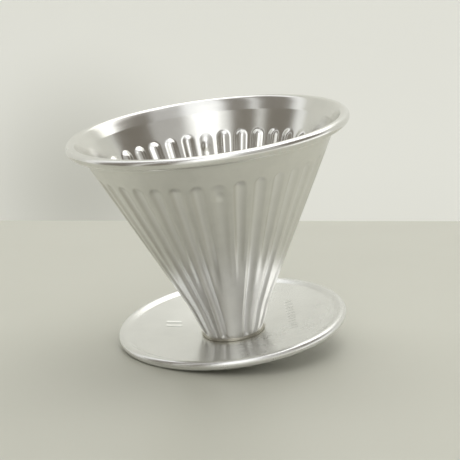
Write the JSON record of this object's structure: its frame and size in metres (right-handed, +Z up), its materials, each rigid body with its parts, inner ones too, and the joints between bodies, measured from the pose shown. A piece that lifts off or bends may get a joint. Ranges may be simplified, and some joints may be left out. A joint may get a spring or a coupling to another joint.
{
  "type": "pour over dripper",
  "caption": "Fluted sheet steel cone with a rolled rim, standing in a dished round base plate over a short central outlet.",
  "frame": {"origin": "centre of the outlet tube's lower end, the lowest point of the part, on the cone's axis", "axes": "+Z up along the cone's axis, from the outlet towards the rim; -Y is the front, where the front round mark sits"},
  "size_m": [0.1196, 0.1196, 0.0977],
  "materials": {
    "cone_steel": "satin polished sheet",
    "plate_steel": "bright polished sheet",
    "sleeve_steel": "drawn and polished",
    "ring_steel": "turned"
  },
  "bodies": {
    "root": {"fluted_cone": "cone_steel", "base_plate": "plate_steel", "outlet_sleeve": "sleeve_steel", "backing_ring": "ring_steel"}
  },
  "joints": []
}
